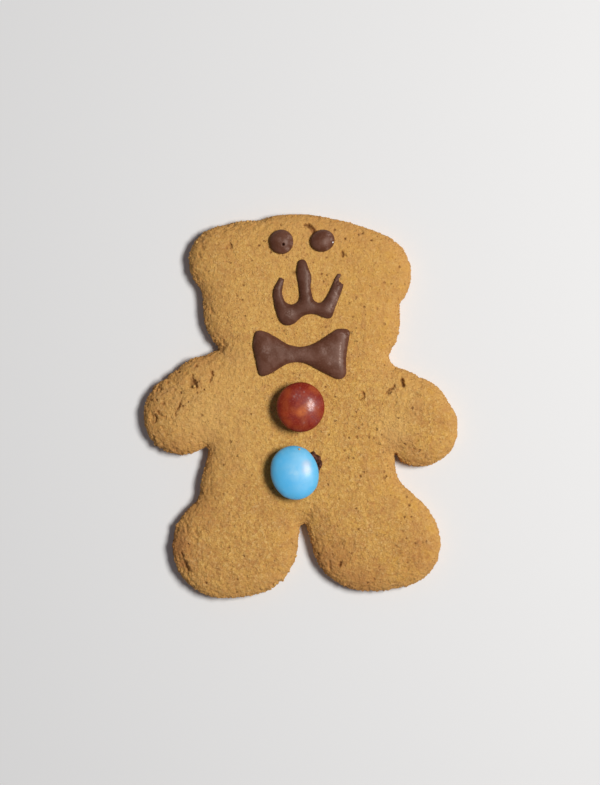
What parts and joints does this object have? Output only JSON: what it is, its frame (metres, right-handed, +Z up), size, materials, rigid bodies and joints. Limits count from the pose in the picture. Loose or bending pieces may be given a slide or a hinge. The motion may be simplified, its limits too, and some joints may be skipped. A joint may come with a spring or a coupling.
{
  "type": "gingerbread teddy bear cookie",
  "caption": "Flat bear-shaped gingerbread cookie lying face up, with a chocolate icing face and bow tie and sugar-shelled chocolate candies as buttons.",
  "frame": {"origin": "on the surface it lies on, under the middle of the whole cookie's box", "axes": "+Y towards the top of the head, +X towards the side with the smaller foot, +Z up out of the decorated face"},
  "size_m": [0.0944, 0.1155, 0.0146],
  "materials": {
    "gingerbread": "matte baked crumb",
    "chocolate_icing": "satin set icing",
    "red_sugar_shell": "mottled satin sugar shell",
    "blue_sugar_shell": "glossy sugar shell"
  },
  "bodies": {
    "root": {"cookie": "gingerbread", "eye_left": "chocolate_icing", "eye_right": "chocolate_icing", "muzzle": "chocolate_icing", "bow_tie": "chocolate_icing", "candy_red": "red_sugar_shell", "candy_blue": "blue_sugar_shell", "dab_red": "chocolate_icing", "dab_blue": "chocolate_icing"}
  },
  "joints": []
}
